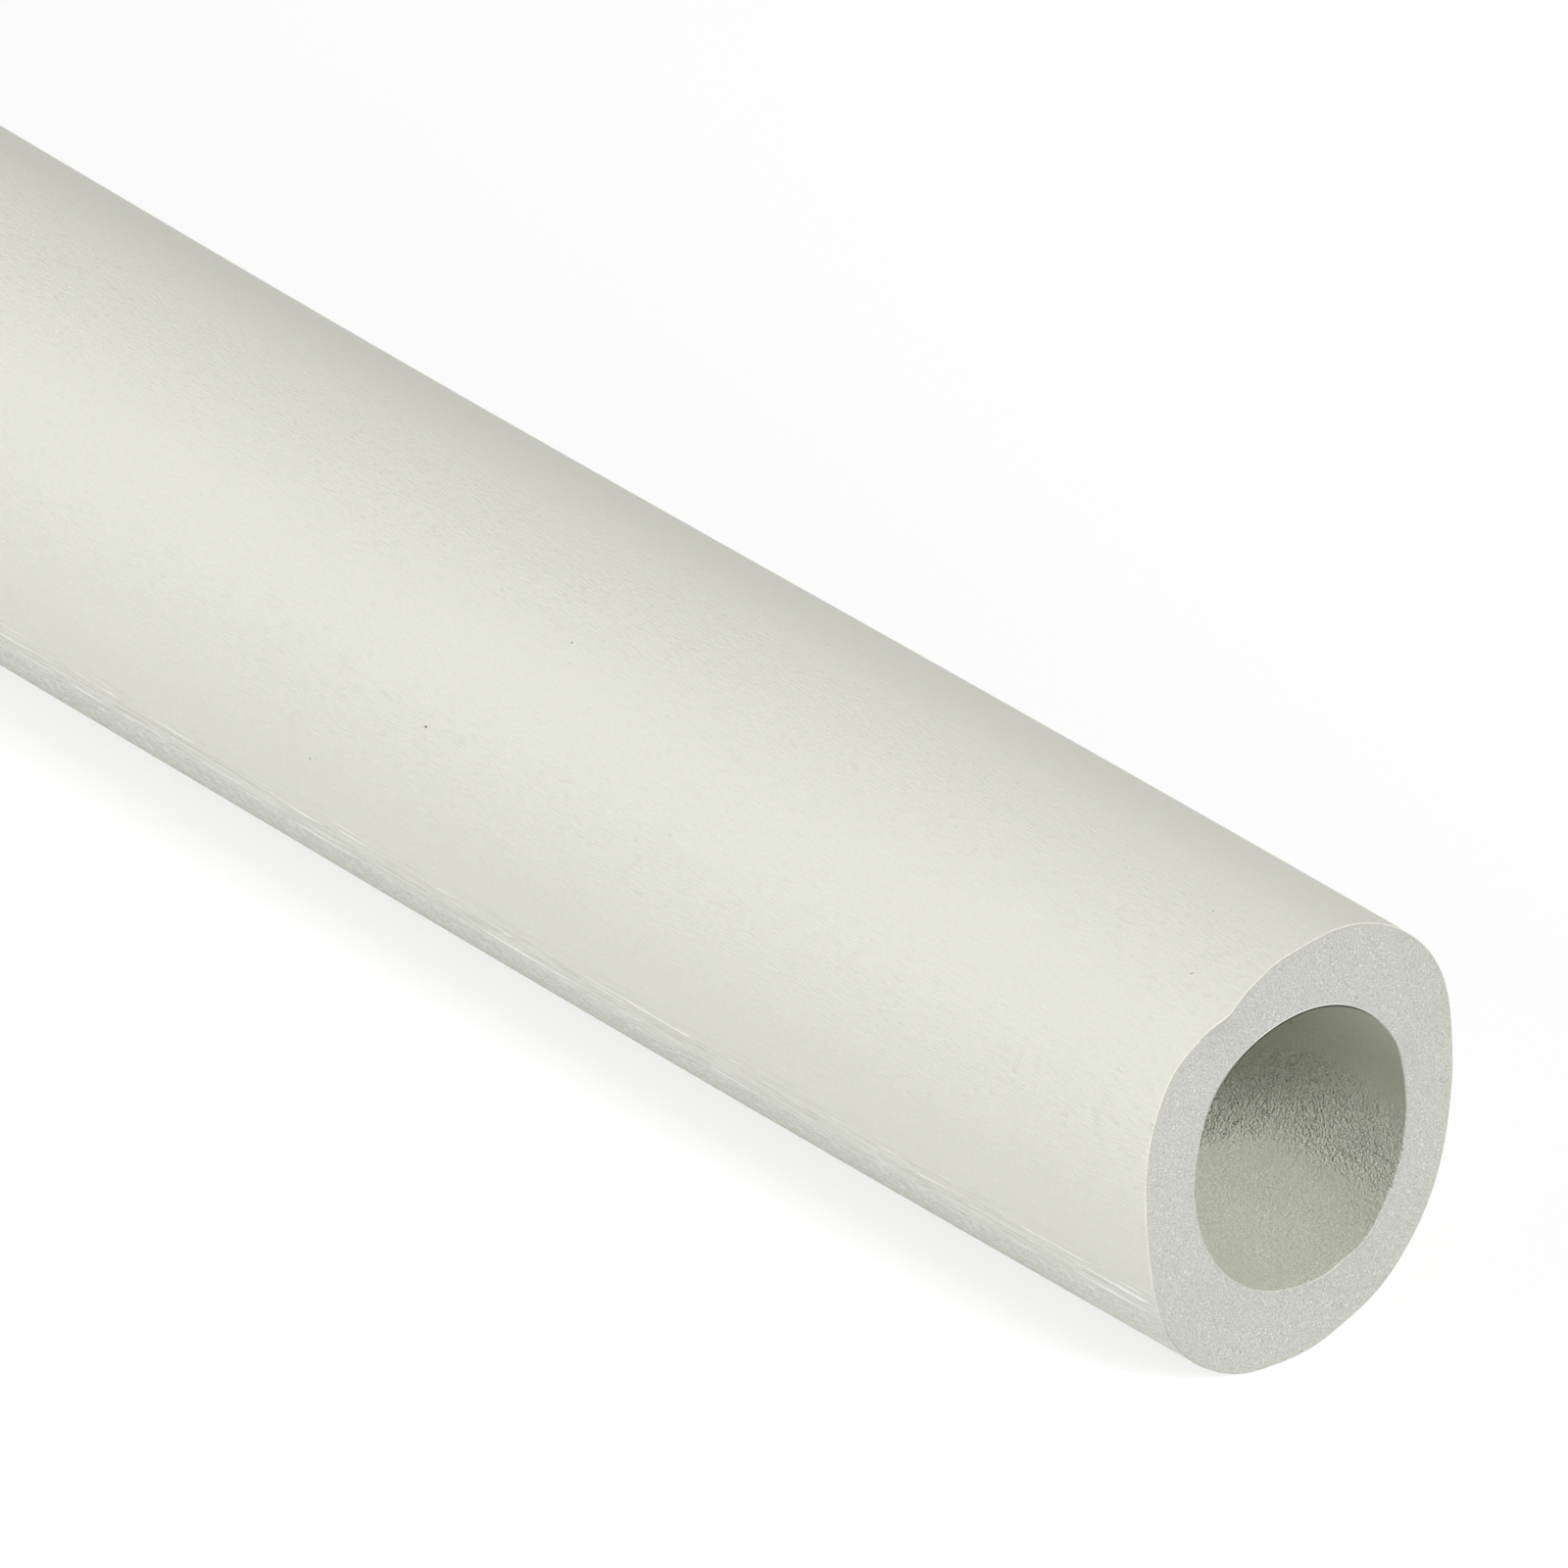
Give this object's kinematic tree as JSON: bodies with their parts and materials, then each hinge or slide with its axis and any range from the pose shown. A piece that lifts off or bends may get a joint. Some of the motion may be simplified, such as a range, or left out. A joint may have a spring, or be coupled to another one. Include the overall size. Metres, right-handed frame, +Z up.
{
  "type": "foam pipe insulation",
  "caption": "Straight length of closed-cell foam tube that is pushed over a pipe from its end to keep the heat or cold in; one end is square, the other is cut by hand.",
  "frame": {"origin": "middle of the underside: half-way along the tube and across it, at the height of the flat that it lies on", "axes": "+X along the tube from its square end towards its hand-cut end, +Z up, +Y across"},
  "size_m": [0.5034, 0.0534, 0.0535],
  "materials": {
    "foam": "matt off-white closed-cell foam with a smooth extruded skin; the cut ends show fine open cells"
  },
  "bodies": {
    "root": {"insulation_tube": "foam"}
  },
  "joints": []
}
